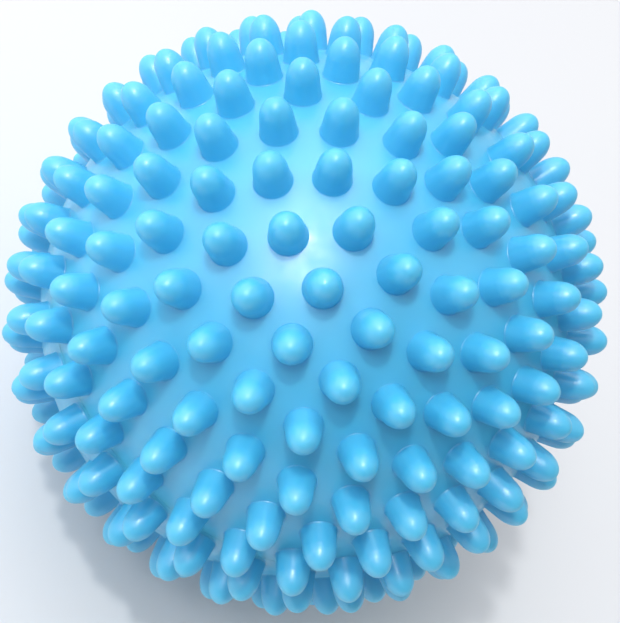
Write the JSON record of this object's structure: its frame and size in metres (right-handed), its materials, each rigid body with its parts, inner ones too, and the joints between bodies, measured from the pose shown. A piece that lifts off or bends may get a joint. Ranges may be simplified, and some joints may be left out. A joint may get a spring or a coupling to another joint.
{
  "type": "dryer ball",
  "caption": "Hollow soft ball covered in tapered round-ended nubs, an upper and a lower half shell bonded together, with an air valve and its pull-out plug in place of a nub.",
  "frame": {"origin": "centre of the ball", "axes": "+Z along the moulding axis, out through the nub on the upper pole; the bonded parting line lies in the XY plane; the rings of nubs are counted round from -Y towards +X"},
  "size_m": [0.0698, 0.0698, 0.07],
  "materials": {
    "shell_pvc": "glossy soft PVC, light blue, slightly translucent",
    "valve_seat_pvc": "satin soft PVC, a shade darker than the shell",
    "valve_plug_pvc": "satin firm PVC, milky pale blue"
  },
  "bodies": {
    "ball": {"upper_half_shell": "shell_pvc", "lower_half_shell": "shell_pvc", "valve_seat": "valve_seat_pvc"},
    "plug": {"valve_plug": "valve_plug_pvc"}
  },
  "joints": [
    {"name": "plug_pull", "type": "slide", "parent": "ball", "child": "plug", "axis": [-0.6342, 0.7258, 0.2664], "range_m": [0, 0.014]}
  ]
}
